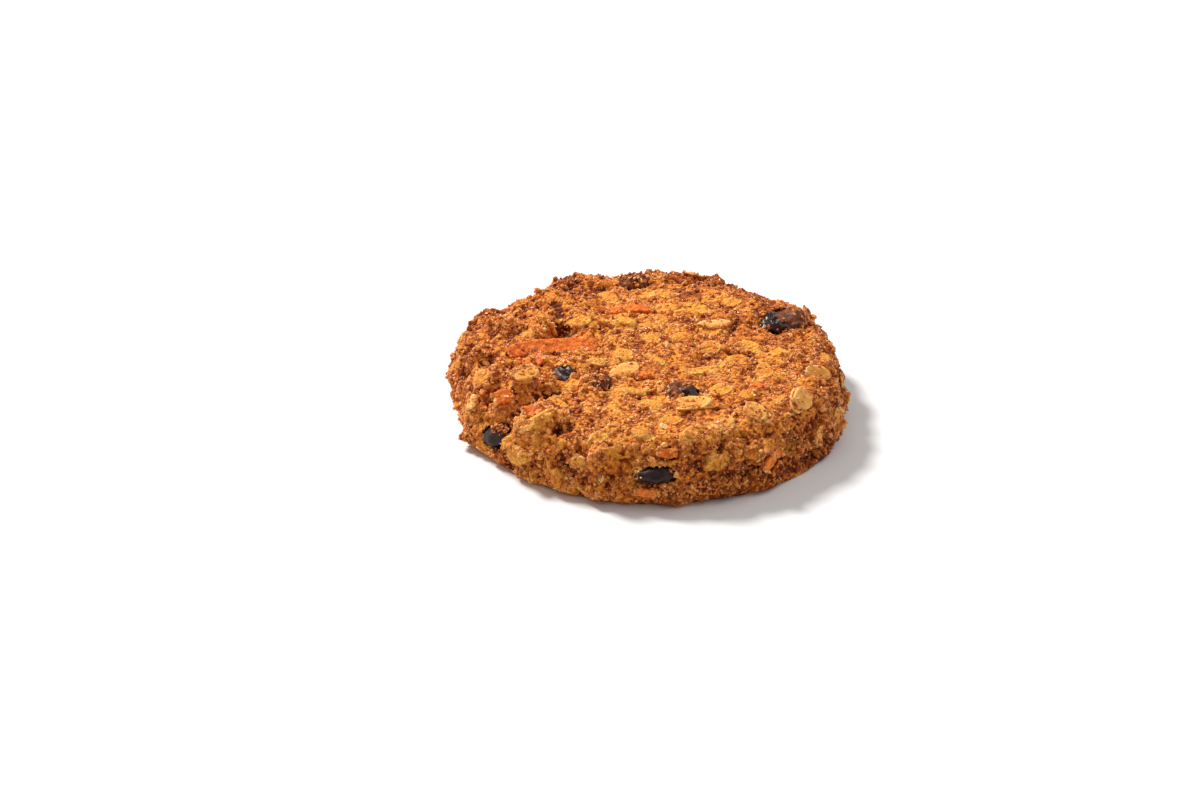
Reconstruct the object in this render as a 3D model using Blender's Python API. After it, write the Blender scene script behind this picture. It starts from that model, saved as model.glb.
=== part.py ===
"""A thick, rustic carrot cake cookie: a baked round of oat dough, with raisins and carrot shreds set in it.

Metres, +Z up. The cookie rests on z = 0, its bounding box is centred on the Z axis, and its front faces -Y.
The dough is a grid wrapped over the round's side profile and roughened by a relief function. Oat flakes are
fused to it by one Boolean union, and one Boolean difference cuts a pocket, a hair wider than the piece that
lies in it, for each raisin and carrot shred.
"""

import math
import random
from collections import namedtuple

import bmesh
import bpy
from mathutils import Matrix, Vector, noise

MM = 0.001

# Driving dimensions of the plain round
COOKIE_RADIUS = 48.7 * MM
COOKIE_THICKNESS = 16.3 * MM
SHOULDER_WIDTH = 9.5 * MM  # how far in from the side the top begins to round over
BASE_INSET = 2.4 * MM  # how far the base edge is tucked in under the side
BASE_ROUND = 3.0 * MM  # height at which the side is widest
GRID_CELLS = 50  # cells along each side of the grid that is wrapped over the round
GAP = 0.3 * MM  # between a raisin or shred and its pocket
SLIVER = 0.003 * MM  # the thinnest faces that a Boolean leaves

# Relief of the dough
SWELL_SIZE, SWELL_HEIGHT = 16 * MM, 1.1 * MM
CLUMP_SIZE, CLUMP_HEIGHT = 8.5 * MM, 1.9 * MM
CRUMB_SIZE, CRUMB_HEIGHT = 4.2 * MM, 0.6 * MM
GROOVE_SHARPNESS = 2.2  # how steeply a clump falls into the groove round it
CLUMP_DOME, CLUMP_LEVEL = 0.55, 0.2  # how domed a clump is, and how far its relief is lowered to balance it
CRAGGY_UP_TO, CALM_FROM = -24 * MM, -6 * MM  # along X: the top is craggy on the left, calmer on the right
CALM_SHARE = 0.4  # share of the clumps that the calmer part keeps
SIDE_DROP = 4 * MM  # below the top, where the clumps of the side have their full height
BASE_FADE = 0.93  # share of the way to the base edge past which the relief dies out

# Oat flakes
FLAKE_COUNT = 48
FLAKE_LENGTHS = (5.2 * MM, 8.6 * MM)
FLAKE_SLENDERNESS = (0.58, 0.8)
FLAKE_THICKNESS = 0.95 * MM
FLAKE_SIDES = 8
FLAKE_TOP = 0.76  # width of a flake's upper face as a share of its lower one
FLAKE_SPACING = 7.6 * MM
FLAKE_CLEARANCE = 1.2 * MM  # from raisins and shreds
FLAKE_REACH = 0.88  # share of the way to the base edge past which no flake is scattered
FLAKE_TILT = math.radians(15)
FLAKE_TRIES = 400  # places tried for each scattered flake
FLAKE_SEED = 7
SMOOTH_BACK = (33 * MM, 46 * MM)  # from the axis, a band round the back rim without scattered flakes

# Raisins and carrot shreds
RAISIN_SEGMENTS, RAISIN_RINGS = 12, 9
RAISIN_WRINKLE_SIZE, RAISIN_WRINKLE_DEPTH, RAISIN_WRINKLE_LEVEL = 3.2 * MM, 0.55 * MM, 0.8
SHRED_STATIONS = 7
SHRED_SMOOTHING = 3
SHRED_END_WIDTH, SHRED_TAPER_POWER = 0.62, 0.7  # the ends' share of the full width, and how blunt they are
SIDE_RISE = 0.7  # a spot whose outward normal rises less than this counts as on the side

Wave = namedtuple("Wave", "count depth towards")  # depth as a share of the radius, towards in degrees
Lump = namedtuple("Lump", "at radius rise")
Crack = namedtuple("Crack", "start end width depth")
Raisin = namedtuple("Raisin", "at length width height heading sink")
Shred = namedtuple("Shred", "start end width thickness bow proud tilt")
Flake = namedtuple("Flake", "at length width heading tilt")  # headings and tilts are in degrees

OUTLINE_WAVES = (Wave(2, 0.020, -50), Wave(3, 0.005, 50), Wave(4, 0.009, -31), Wave(6, 0.007, 24))


# Where things are: a spot is an angle about the axis and a reach, the share of the way along the profile

def quarter_arc(across, up):
    """Length of a quarter of an ellipse."""
    return math.pi / 2 * math.sqrt((across**2 + up**2) / 2)


PLATEAU = COOKIE_RADIUS - SHOULDER_WIDTH
SHOULDER_HEIGHT = COOKIE_THICKNESS - BASE_ROUND
SHOULDER_ARC = quarter_arc(SHOULDER_WIDTH, SHOULDER_HEIGHT)
BASE_ARC = quarter_arc(BASE_INSET, BASE_ROUND)
PROFILE_LENGTH = PLATEAU + SHOULDER_ARC + BASE_ARC


def profile(reach):
    """Radius, height and outward normal of the plain profile, from the top's middle to the base edge."""
    along = reach * PROFILE_LENGTH
    if along <= PLATEAU:
        return along, COOKIE_THICKNESS, 0.0, 1.0
    if along <= PLATEAU + SHOULDER_ARC:
        turn = (along - PLATEAU) / SHOULDER_ARC * math.pi / 2
        radius = PLATEAU + SHOULDER_WIDTH * math.sin(turn)
        height = BASE_ROUND + SHOULDER_HEIGHT * math.cos(turn)
        out, up = math.sin(turn) / SHOULDER_WIDTH, math.cos(turn) / SHOULDER_HEIGHT
    else:
        turn = min((along - PLATEAU - SHOULDER_ARC) / BASE_ARC, 1.0) * math.pi / 2
        radius = COOKIE_RADIUS - BASE_INSET * (1 - math.cos(turn))
        height = BASE_ROUND * (1 - math.sin(turn))
        out, up = math.cos(turn) / BASE_INSET, -math.sin(turn) / BASE_ROUND
    steep = math.hypot(out, up)
    return radius, height, out / steep, up / steep


def outline(angle):
    """The plan outline at an angle, as a share of the cookie's radius."""
    return 1 + sum(w.depth * math.cos(w.count * (angle - math.radians(w.towards))) for w in OUTLINE_WAVES)


def on_top(x_mm, y_mm):
    """The spot at a place on the top, given in millimetres from the axis."""
    angle = math.atan2(y_mm, x_mm)
    return angle, math.hypot(x_mm, y_mm) * MM / outline(angle) / PROFILE_LENGTH


def on_side(angle_deg, height_mm):
    """The spot on the side at an angle in degrees and a height in millimetres."""
    rise = (height_mm * MM - BASE_ROUND) / SHOULDER_HEIGHT
    along = PLATEAU + math.acos(max(-1.0, min(1.0, rise))) / (math.pi / 2) * SHOULDER_ARC
    return math.radians(angle_deg), along / PROFILE_LENGTH


def plain(spot):
    """Point and outward normal of the plain round at a spot."""
    angle, reach = spot
    radius, height, out, up = profile(reach)
    radius *= outline(angle)
    point = Vector((radius * math.cos(angle), radius * math.sin(angle), height))
    return point, Vector((out * math.cos(angle), out * math.sin(angle), up))


# What shows on the cookie, placed from the front view

LUMPS = (
    Lump(on_top(-27, 15.5), 7.5 * MM, 2.0 * MM),
    Lump(on_top(-15, 15.5), 7 * MM, 1.9 * MM),
    Lump(on_side(161, 12), 13 * MM, 2.4 * MM),
    Lump(on_side(114, 14.5), 11 * MM, 2.3 * MM),
    Lump(on_side(204, 6), 12 * MM, 2.2 * MM),
    Lump(on_side(32, 13), 12 * MM, 0.8 * MM),
    Lump(on_top(-39, -12), 7 * MM, 1.6 * MM),
    Lump(on_top(-31.5, -18), 6.5 * MM, 1.7 * MM),
    Lump(on_side(229, 14.5), 9 * MM, 1.9 * MM),
    Lump(on_side(253, 13), 6.5 * MM, 1.3 * MM),
    Lump(on_side(268, 14), 6 * MM, 1.6 * MM),
    Lump(on_side(284, 15), 8.5 * MM, 1.9 * MM),
    Lump(on_side(318, 5), 15 * MM, -2.2 * MM),
    Lump(on_top(27, 18), 12 * MM, 0.9 * MM),
    Lump(on_side(20, 14), 9 * MM, 1.0 * MM),
    Lump(on_side(75, 13), 10 * MM, 1.3 * MM),
)

CRACKS = (
    Crack(on_top(-23.5, 9.5), on_top(-21.2, 15), 3.0 * MM, 3.6 * MM),
    Crack(on_side(217, 14), on_top(-32, -24), 3.2 * MM, 4.4 * MM),
    Crack(on_top(-30.5, -24), on_top(-24.5, -18.5), 2.8 * MM, 3.6 * MM),
    Crack(on_side(205, 13.5), on_top(-36, -17), 2.8 * MM, 3.2 * MM),
    Crack(on_side(180, 10), on_top(-40.5, -1), 2.8 * MM, 3.2 * MM),
    Crack(on_side(237, 14.5), on_top(-21, -35), 2.6 * MM, 2.6 * MM),
    Crack(on_side(240, 11), on_side(246, 7), 2.4 * MM, 2.4 * MM),
    Crack(on_side(290, 14), on_side(294, 10.5), 2.2 * MM, 2.2 * MM),
    Crack(on_side(298, 7), on_side(318, 9), 2.4 * MM, 2.0 * MM),
    Crack(on_side(58, 8), on_side(82, 6.5), 2.4 * MM, 2.0 * MM),
    Crack(on_side(142, 10), on_side(156, 6), 2.4 * MM, 2.2 * MM),
    Crack(on_side(2, 9), on_side(14, 6), 2.4 * MM, 1.8 * MM),
)

RAISINS = (
    Raisin(on_top(33, 16), 13 * MM, 10 * MM, 7.5 * MM, 12, 1.3 * MM),
    Raisin(on_top(7, -18.6), 10 * MM, 8.5 * MM, 6.5 * MM, -20, 1.5 * MM),
    Raisin(on_top(-21.2, -9.9), 7.5 * MM, 6 * MM, 5.5 * MM, 5, 1.7 * MM),
    Raisin(on_top(-13, -15.5), 7.5 * MM, 6 * MM, 5 * MM, 35, 1.5 * MM),
    Raisin(on_top(-4, 37.2), 9 * MM, 6.5 * MM, 5.5 * MM, 15, 1.2 * MM),
    Raisin(on_side(214.5, 7.8), 8.6 * MM, 5.6 * MM, 5.4 * MM, 38, 1.3 * MM),
    Raisin(on_side(271, 8.6), 10.8 * MM, 4.2 * MM, 6 * MM, 3, 2.0 * MM),
    Raisin(on_side(98, 8), 9.5 * MM, 7 * MM, 6 * MM, 15, 1.6 * MM),
)

SHREDS = (
    Shred(on_top(-35.0, 1.0), on_top(-13.2, 4.8), 4.2 * MM, 1.5 * MM, 1.0 * MM, 0.9 * MM, 34),
    Shred(on_top(-31, -4.2), on_top(-26.4, -2.4), 3.4 * MM, 1.5 * MM, 0, 0.9 * MM, 20),
    Shred(on_top(-38.8, -22.6), on_top(-34.0, -21.6), 3.4 * MM, 1.4 * MM, 0, 0.7 * MM, 26),
    Shred(on_top(-31.2, -30.6), on_top(-26.8, -29.8), 3.0 * MM, 1.4 * MM, 0, 0.6 * MM, 15),
    Shred(on_top(-11, 21.4), on_top(0.5, 23.6), 2.2 * MM, 1.3 * MM, 0.8 * MM, 0.5 * MM, 20),
    Shred(on_top(-3.6, -12.6), on_top(0.8, -11.2), 2.2 * MM, 1.2 * MM, 0, 0.5 * MM, 10),
    Shred(on_side(303.5, 6.3), on_side(313.5, 8.3), 2.6 * MM, 1.4 * MM, 0.4 * MM, 0.5 * MM, 0),
    Shred(on_side(264.8, 4.5), on_side(272.2, 4.3), 2.2 * MM, 1.3 * MM, 0, 0.5 * MM, 0),
    Shred(on_side(271.5, 13.6), on_side(277.5, 13.2), 2.4 * MM, 1.3 * MM, 0, 0.4 * MM, 0),
    Shred(on_top(23.2, -15.2), on_top(28.4, -16.6), 2.2 * MM, 1.2 * MM, 0.4 * MM, 0.3 * MM, 0),
    Shred(on_side(38, 9), on_side(52, 11), 2.6 * MM, 1.4 * MM, 0.6 * MM, 0.5 * MM, 0),
    Shred(on_side(132, 8), on_side(118, 11.5), 2.6 * MM, 1.4 * MM, 0.6 * MM, 0.5 * MM, 0),
)

CHOSEN_FLAKES = (
    Flake(on_top(10, -27.2), 8.2 * MM, 5.0 * MM, 2, -14),
    Flake(on_top(-6.6, -9.8), 8.0 * MM, 4.8 * MM, 24, -12),
    Flake(on_side(317, 8.4), 8.2 * MM, 4.8 * MM, -8, 48),
    Flake(on_side(328, 8), 6.4 * MM, 4.6 * MM, 30, 16),
    Flake(on_side(227, 6.6), 7.4 * MM, 5.4 * MM, 20, 5),
    Flake(on_top(-42.5, -11), 7.0 * MM, 5.0 * MM, 60, 14),
    Flake(on_top(25, -32), 7.0 * MM, 4.4 * MM, -48, 12),
    Flake(on_top(36.8, -23.5), 7.6 * MM, 5.0 * MM, 72, 22),
    Flake(on_top(11, 22.6), 8.6 * MM, 5.6 * MM, -24, 16),
    Flake(on_side(248, 9.5), 6.6 * MM, 4.6 * MM, 5, 34),
    Flake(on_top(41, -9.8), 6.8 * MM, 4.4 * MM, 14, 12),
    Flake(on_top(12, -8.4), 8.4 * MM, 5.2 * MM, 12, -8),
    Flake(on_side(289, 10.6), 7.0 * MM, 5.0 * MM, 12, 34),
    Flake(on_top(-31, -17.5), 7.0 * MM, 5.4 * MM, 40, 12),
)


# Relief

def smooth(value):
    """Eases a value from 0 to 1."""
    value = max(0.0, min(1.0, value))
    return value * value * (3 - 2 * value)


def clumps(point, size):
    """Rounded clumps with grooves between them, from about -0.5 to 0.5."""
    near, next_near = noise.voronoi(point / size)[0][:2]
    return smooth((next_near - near) * GROOVE_SHARPNESS) - CLUMP_DOME * near - CLUMP_LEVEL


def cragginess(point):
    """Share of the clump relief that shows: all on the left and the side, less on the right of the top."""
    on_left = smooth((CALM_FROM - point.x) / (CALM_FROM - CRAGGY_UP_TO))
    low = smooth((COOKIE_THICKNESS - point.z) / SIDE_DROP)
    return CALM_SHARE + (1 - CALM_SHARE) * max(on_left, low)


def along_segment(point, start, end):
    """Distance from a point to a segment."""
    run = end - start
    share = max(0.0, min(1.0, (point - start).dot(run) / run.length_squared))
    return (point - start - run * share).length


LUMP_POINTS = [plain(lump.at)[0] for lump in LUMPS]
CRACK_POINTS = [(plain(crack.start)[0], plain(crack.end)[0]) for crack in CRACKS]


def relief(point, reach):
    """How far the baked surface stands out from the plain round at one of its points."""
    height = SWELL_HEIGHT * noise.fractal(point / SWELL_SIZE, 1.0, 2.0, 3)
    height += CLUMP_HEIGHT * cragginess(point) * clumps(point, CLUMP_SIZE)
    height += CRUMB_HEIGHT * clumps(point + Vector((1, 1, 1)), CRUMB_SIZE)
    for lump, centre in zip(LUMPS, LUMP_POINTS):
        height += lump.rise * smooth(1 - (point - centre).length / lump.radius)
    for crack, (start, end) in zip(CRACKS, CRACK_POINTS):
        height -= crack.depth * smooth(1 - along_segment(point, start, end) / crack.width)
    return height * smooth((1 - reach) / (1 - BASE_FADE))


def baked(spot):
    """Point and outward normal of the roughened surface at a spot."""
    point, normal = plain(spot)
    return point + normal * relief(point, spot[1]), normal


# Scene, materials and collections

def clear_scene():
    for obj in list(bpy.data.objects):
        bpy.data.objects.remove(obj, do_unlink=True)


def make_collection(name):
    collection = bpy.data.collections.new(name)
    bpy.context.scene.collection.children.link(collection)
    return collection


def move_to(obj, collection):
    for owner in list(obj.users_collection):
        owner.objects.unlink(obj)
    collection.objects.link(obj)


def make_material(name, colour, roughness):
    material = bpy.data.materials.new(name)
    material.use_nodes = True
    shader = material.node_tree.nodes["Principled BSDF"]
    shader.inputs["Base Color"].default_value = (*colour, 1.0)
    shader.inputs["Roughness"].default_value = roughness
    shader.inputs["Metallic"].default_value = 0.0
    return material


def new_object(name, shape, collection, material):
    mesh = bpy.data.meshes.new(name)
    shape.to_mesh(mesh)
    shape.free()
    mesh.materials.append(material)
    mesh.shade_smooth()
    obj = bpy.data.objects.new(name, mesh)
    collection.objects.link(obj)
    return obj


def heading_frame(spot, heading_deg, tilt_deg=0.0):
    """Rotation whose Z points out of the cookie at a spot, and whose X lies along it at a heading."""
    normal = plain(spot)[1]
    sideways = Vector((0, 0, 1)).cross(normal) if normal.z < SIDE_RISE else Vector((1, 0, 0))
    along = (sideways - normal * sideways.dot(normal)).normalized()
    basis = Matrix((along, normal.cross(along), normal)).transposed().to_4x4()
    turn = Matrix.Rotation(math.radians(heading_deg), 4, "Z")
    return basis @ turn @ Matrix.Rotation(math.radians(tilt_deg), 4, "X")


# Dough

def wrap_reach(x, y):
    """The spot for a point of the square grid from -1 to 1, by an elliptical mapping onto a disc."""
    across = x * math.sqrt(1 - y * y / 2)
    along = y * math.sqrt(1 - x * x / 2)
    return math.atan2(along, across), min(1.0, math.hypot(across, along))


def make_dough(collection, material):
    """A grid wrapped over the round and closed by one flat face below."""
    bpy.ops.mesh.primitive_grid_add(x_subdivisions=GRID_CELLS, y_subdivisions=GRID_CELLS, size=2)
    dough = bpy.context.active_object
    dough.name = dough.data.name = "cookie"
    move_to(dough, collection)
    shape = bmesh.new()
    shape.from_mesh(dough.data)
    for vertex in shape.verts:
        vertex.co = baked(wrap_reach(vertex.co.x, vertex.co.y))[0]
        vertex.co.z = max(0.0, vertex.co.z)
    rim = [edge for edge in shape.edges if edge.is_boundary]
    for vertex in {v for edge in rim for v in edge.verts}:
        vertex.co.z = 0.0
    bmesh.ops.contextual_create(shape, geom=rim)
    bmesh.ops.recalc_face_normals(shape, faces=shape.faces)
    shape.to_mesh(dough.data)
    shape.free()
    dough.data.materials.append(material)
    return dough


# Oat flakes

def flake_shape(length, width):
    """An oval plate, narrower on its upper face so that its edge is bevelled."""
    shape = bmesh.new()
    bmesh.ops.create_cone(
        shape,
        cap_ends=True,
        segments=FLAKE_SIDES,
        radius1=0.5,
        radius2=0.5 * FLAKE_TOP,
        depth=FLAKE_THICKNESS,
    )
    bmesh.ops.scale(shape, vec=(length, width, 1), verts=shape.verts)
    return shape


def shred_spot(shred, share):
    """The spot at a share of the way along a shred: straight across the top, or round the side."""
    if shred.start[1] * PROFILE_LENGTH > PLATEAU:
        turn = (shred.end[0] - shred.start[0] + math.pi) % (2 * math.pi) - math.pi
        return shred.start[0] + turn * share, shred.start[1] + (shred.end[1] - shred.start[1]) * share
    point = plain(shred.start)[0].lerp(plain(shred.end)[0], share)
    return on_top(point.x / MM, point.y / MM)


def shred_points(shred):
    """Points and normals down the middle of a shred, which lies over the small bumps of the surface."""
    stations = [baked(shred_spot(shred, step / SHRED_STATIONS)) for step in range(SHRED_STATIONS + 1)]
    points = [point for point, _ in stations]
    for _ in range(SHRED_SMOOTHING):
        inner = [(a + 2 * b + c) / 4 for a, b, c in zip(points, points[1:], points[2:])]
        points = [points[0], *inner, points[-1]]
    sideways = (points[-1] - points[0]).cross(stations[0][1]).normalized()
    for step, point in enumerate(points):
        point -= sideways * shred.bow * math.sin(math.pi * step / SHRED_STATIONS)
    return list(zip(points, (normal for _, normal in stations)))


def keep_out_points():
    """Places and clearances that scattered flakes keep away from."""
    places = [(baked(raisin.at)[0], raisin.length / 2) for raisin in RAISINS]
    for shred in SHREDS:
        places += [(point, shred.width / 2) for point, _ in shred_points(shred)]
    return places


def scattered_flakes():
    """Flakes spread evenly over the top and side, the longest first."""
    draw = random.Random(FLAKE_SEED)
    lengths = sorted((draw.uniform(*FLAKE_LENGTHS) for _ in range(FLAKE_COUNT)), reverse=True)
    keep_out = keep_out_points()
    taken = [baked(flake.at)[0] for flake in CHOSEN_FLAKES]
    flakes = []
    for length in lengths:
        for _ in range(FLAKE_TRIES):
            spot = (draw.uniform(0, 2 * math.pi), draw.uniform(0, FLAKE_REACH))
            if draw.random() * COOKIE_RADIUS > profile(spot[1])[0]:
                continue
            point = baked(spot)[0]
            if point.y > 0 and SMOOTH_BACK[0] < point.xy.length < SMOOTH_BACK[1]:
                continue
            near_flake = any((point - other).length < FLAKE_SPACING for other in taken)
            reach_out = length / 2 + FLAKE_CLEARANCE
            near_piece = any((point - other).length < size + reach_out for other, size in keep_out)
            if not near_flake and not near_piece:
                taken.append(point)
                tilt = math.degrees(draw.uniform(-FLAKE_TILT, FLAKE_TILT))
                width = length * draw.uniform(*FLAKE_SLENDERNESS)
                flakes.append(Flake(spot, length, width, draw.uniform(0, 180), tilt))
                break
    return flakes


def combine(dough, others, operation):
    """Unites a collection's objects with the dough, or cuts them out of it, and removes them."""
    change = dough.modifiers.new(operation.lower(), "BOOLEAN")
    change.operation, change.operand_type, change.collection = operation, "COLLECTION", others
    change.solver = "MANIFOLD"
    bpy.context.view_layer.objects.active = dough
    bpy.ops.object.modifier_apply(modifier=change.name)
    for obj in list(others.objects):
        bpy.data.objects.remove(obj, do_unlink=True)
    bpy.data.collections.remove(others)
    keep_largest_shell(dough)


def shell_of(vertex):
    """All vertices joined to one by edges."""
    shell, waiting = {vertex}, [vertex]
    while waiting:
        for edge in waiting.pop().link_edges:
            for other in edge.verts:
                if other not in shell:
                    shell.add(other)
                    waiting.append(other)
    return shell


def keep_largest_shell(obj):
    """Collapses slivers, and drops loose scraps and sealed hollows, a mesh's small closed shells."""
    shape = bmesh.new()
    shape.from_mesh(obj.data)
    bmesh.ops.dissolve_degenerate(shape, edges=shape.edges, dist=SLIVER)
    left, shells = set(shape.verts), []
    while left:
        shells.append(shell_of(next(iter(left))))
        left -= shells[-1]
    shells.sort(key=len)
    for shell in shells[:-1]:
        bmesh.ops.delete(shape, geom=list(shell), context="VERTS")
    shape.to_mesh(obj.data)
    shape.free()


def make_flakes(material):
    """All oat flakes, in a collection of their own."""
    flakes = make_collection("oat flakes")
    for number, flake in enumerate((*CHOSEN_FLAKES, *scattered_flakes()), 1):
        obj = new_object(f"flake_{number}", flake_shape(flake.length, flake.width), flakes, material)
        place = Matrix.Translation(baked(flake.at)[0])
        obj.matrix_world = place @ heading_frame(flake.at, flake.heading, flake.tilt)
    return flakes


# Raisins

def raisin_shape(raisin, grow=0.0):
    """A wrinkled oval, swollen by grow all round for its pocket."""
    shape = bmesh.new()
    bmesh.ops.create_uvsphere(shape, u_segments=RAISIN_SEGMENTS, v_segments=RAISIN_RINGS, radius=0.5)
    size = Vector((raisin.length, raisin.width, raisin.height))
    offset = Vector((raisin.length, raisin.heading, raisin.width))
    for vertex in shape.verts:
        out = vertex.co.normalized()
        vertex.co = Vector(a * b for a, b in zip(vertex.co, size))
        fold = noise.ridged_multi_fractal(vertex.co / RAISIN_WRINKLE_SIZE + offset, 1.0, 2.0, 2, 1.0, 2.0)
        vertex.co += out * (grow - RAISIN_WRINKLE_DEPTH * (fold - RAISIN_WRINKLE_LEVEL))
    return shape


def make_raisin(number, raisin, parts, pockets, material):
    """One raisin, and the pocket that it lies in."""
    point, normal = baked(raisin.at)
    place = Matrix.Translation(point - normal * raisin.sink) @ heading_frame(raisin.at, raisin.heading)
    piece = new_object(f"raisin_{number}", raisin_shape(raisin), parts, material)
    pocket = new_object(f"raisin_pocket_{number}", raisin_shape(raisin, GAP), pockets, material)
    for obj in (piece, pocket):
        obj.matrix_world = place


# Carrot shreds

def shred_shape(shred, grow=0.0):
    """A tapered strip that follows the surface, swollen by grow all round for its pocket."""
    shape = bmesh.new()
    bmesh.ops.create_cube(shape, size=1)
    long_edges = [e for e in shape.edges if abs(e.verts[0].co.x - e.verts[1].co.x) > 0.5]
    bmesh.ops.subdivide_edges(shape, edges=long_edges, cuts=SHRED_STATIONS - 1, use_grid_fill=True)
    stations = shred_points(shred)
    for vertex in shape.verts:
        step = round((vertex.co.x + 0.5) * SHRED_STATIONS)
        point, normal = stations[step]
        before, after = stations[max(step - 1, 0)][0], stations[min(step + 1, SHRED_STATIONS)][0]
        forward = (after - before).normalized()
        normal = Matrix.Rotation(math.radians(shred.tilt), 3, forward) @ normal
        sideways = normal.cross(forward).normalized()
        fullness = math.sin(math.pi * (step + 1) / (SHRED_STATIONS + 2)) ** SHRED_TAPER_POWER
        taper = SHRED_END_WIDTH + (1 - SHRED_END_WIDTH) * fullness
        width = shred.width * taper / 2 + grow
        upper, lower = shred.proud + grow, shred.proud - shred.thickness - grow
        end = {0: -grow, SHRED_STATIONS: grow}.get(step, 0.0)
        lift = upper if vertex.co.z > 0 else lower
        side = math.copysign(width, vertex.co.y)
        vertex.co = point + normal * lift + sideways * side + forward * end
    bmesh.ops.recalc_face_normals(shape, faces=shape.faces)
    return shape


def make_shred(number, shred, parts, pockets, material):
    """One carrot shred, and the groove that it lies in."""
    new_object(f"carrot_shred_{number}", shred_shape(shred), parts, material)
    new_object(f"shred_pocket_{number}", shred_shape(shred, GAP), pockets, material)


def centre_on_axis(objects):
    """Moves everything so that the whole's bounding box is centred on the Z axis."""
    bpy.context.view_layer.update()
    corners = [obj.matrix_world @ Vector(corner) for obj in objects for corner in obj.bound_box]
    middle = [(min(c[i] for c in corners) + max(c[i] for c in corners)) / 2 for i in (0, 1)]
    for obj in objects:
        obj.location.x -= middle[0]
        obj.location.y -= middle[1]


def main():
    clear_scene()
    parts = make_collection("carrot cake cookie")
    pockets = make_collection("pockets")
    baked_dough = make_material("baked dough", (0.46, 0.20, 0.06), 0.7)
    raisin_skin = make_material("raisin skin", (0.03, 0.015, 0.012), 0.4)
    carrot = make_material("carrot", (0.80, 0.20, 0.03), 0.5)

    dough = make_dough(parts, baked_dough)
    combine(dough, make_flakes(baked_dough), "UNION")
    for number, raisin in enumerate(RAISINS, 1):
        make_raisin(number, raisin, parts, pockets, raisin_skin)
    for number, shred in enumerate(SHREDS, 1):
        make_shred(number, shred, parts, pockets, carrot)
    combine(dough, pockets, "DIFFERENCE")
    centre_on_axis(parts.objects)


main()
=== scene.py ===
"""A thick carrot cake cookie: craggy baked oat dough with oat flakes, raisins and carrot shreds."""

import math

import bmesh
import bpy
import numpy as np
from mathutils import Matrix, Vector, noise


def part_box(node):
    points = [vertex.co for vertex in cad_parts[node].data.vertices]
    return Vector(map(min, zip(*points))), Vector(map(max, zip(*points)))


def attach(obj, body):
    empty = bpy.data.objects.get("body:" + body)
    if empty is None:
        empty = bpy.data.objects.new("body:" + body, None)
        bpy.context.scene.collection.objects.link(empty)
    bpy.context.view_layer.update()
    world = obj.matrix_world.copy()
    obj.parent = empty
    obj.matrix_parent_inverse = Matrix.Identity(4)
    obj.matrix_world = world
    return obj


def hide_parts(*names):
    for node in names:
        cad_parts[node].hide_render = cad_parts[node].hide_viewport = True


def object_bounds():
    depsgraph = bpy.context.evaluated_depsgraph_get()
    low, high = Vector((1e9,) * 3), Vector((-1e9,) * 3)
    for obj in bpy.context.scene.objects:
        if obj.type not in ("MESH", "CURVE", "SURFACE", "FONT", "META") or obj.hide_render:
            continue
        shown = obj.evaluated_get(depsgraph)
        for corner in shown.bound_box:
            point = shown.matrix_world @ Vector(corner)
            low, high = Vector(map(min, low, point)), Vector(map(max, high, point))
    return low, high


bl_info = {
    "name": "Carrot cake cookie",
    "version": (1, 0, 0),
    "blender": (4, 5, 0),
    "location": "View3D > Sidebar > Cookie",
    "description": "Builds a baked oat cookie with raisins and carrot shreds, and the studio it stands in",
    "category": "Add Mesh",
}

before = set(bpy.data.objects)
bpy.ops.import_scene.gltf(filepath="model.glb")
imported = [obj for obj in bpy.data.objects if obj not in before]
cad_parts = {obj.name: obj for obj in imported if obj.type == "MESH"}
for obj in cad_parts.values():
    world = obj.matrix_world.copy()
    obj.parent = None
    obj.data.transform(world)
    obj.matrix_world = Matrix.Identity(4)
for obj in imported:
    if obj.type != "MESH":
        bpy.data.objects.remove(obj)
CAD_BOX = [list(corner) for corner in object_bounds()]
MM = 0.001
RAISINS = sorted(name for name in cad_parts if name.startswith("raisin"))
SHREDS = sorted(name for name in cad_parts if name.startswith("carrot_shred"))

# The photograph's width and how far right of and below its middle the cookie lies, in pixels
PHOTO_WIDTH = 1200
PHOTO_OFFSET = (47.5, 10.5)
SENSOR_WIDTH = 36  # millimetres

# Of each light: its place and size in metres, and its power in watts
LIGHTS = {
    "key_light": ((-0.8, 0.75, 1.1), 0.4, 32),
    "fill_light": ((1.2, 0.5, 1.2), 1.4, 9),
}
FLOOR_SIZE = 6
SKY_STRENGTH = 0.38

BASE_CUT = 0.2 * MM  # height at which the rounded base edge of the new mesh is cut off
CREST = 0.45 * MM  # how far crumbs may stand above the highest point of the solid
SIDE_TOP = 15 * MM  # raisins and shreds that reach no higher lie in the side
BROWNING = 0.19  # how far broad patches are darker or lighter than the rest

# Of each raisin: the side that dough is baked onto, how much more or less than half of it that
# covers, and how dull its skin is
SKINS = {
    "raisin_1": ((1, 0.2, 0), 0.12, 0.1),
    "raisin_2": ((-0.8, 0.6, 0), 0.12, 0.2),
    "raisin_3": ((-1, 0, 0), -0.3, 0.6),
    "raisin_4": ((-1, 0, 0), 0.5, 0.6),
    "raisin_5": ((0, 1, 0), 0.6, 0.5),
    "raisin_6": ((0, 0, 1), -0.45, 1.0),
    "raisin_7": ((0, 0, -1), -0.5, 1.0),
    "raisin_8": ((1, 0, 0), -0.2, 1.0),
}

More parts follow.
